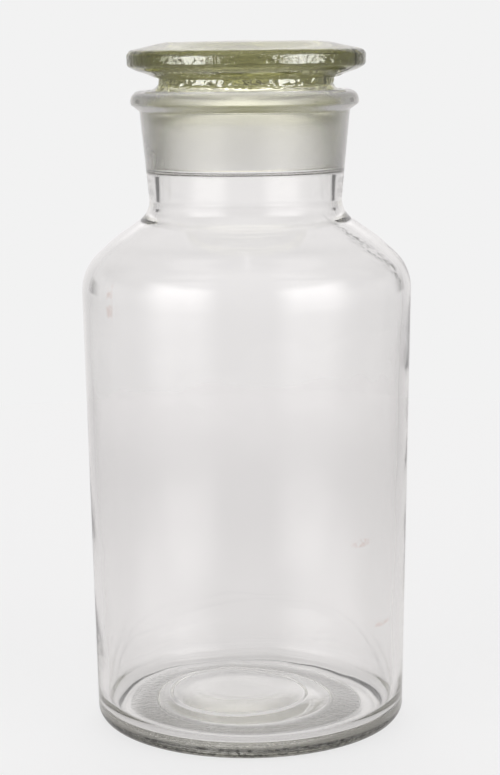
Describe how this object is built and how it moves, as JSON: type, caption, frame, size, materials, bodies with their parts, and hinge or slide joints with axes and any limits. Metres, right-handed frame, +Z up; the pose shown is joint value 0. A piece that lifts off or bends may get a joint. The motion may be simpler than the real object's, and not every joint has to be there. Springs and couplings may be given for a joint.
{
  "type": "reagent bottle",
  "caption": "Clear glass wide-mouth reagent bottle with sloping shoulders, a tapered ground neck, and a flat-headed hollow ground glass stopper that lifts straight out.",
  "frame": {"origin": "on the bottle's axis, in the plane of the ring that it stands on", "axes": "+Z up along the bottle's axis, -Y towards the viewer of its front, +X to the viewer's right"},
  "size_m": [0.1048, 0.1048, 0.2186],
  "materials": {
    "bottle_glass": "clear moulded glass, ground matt inside the neck",
    "stopper_glass": "green-tinted pressed glass, ground matt on the plug"
  },
  "bodies": {
    "bottle": {"bottle": "bottle_glass"},
    "stopper": {"stopper": "stopper_glass"}
  },
  "joints": [
    {"name": "stopper_lift", "type": "slide", "parent": "bottle", "child": "stopper", "axis": [0, 0, 1], "range_m": [0, 0.06]}
  ]
}
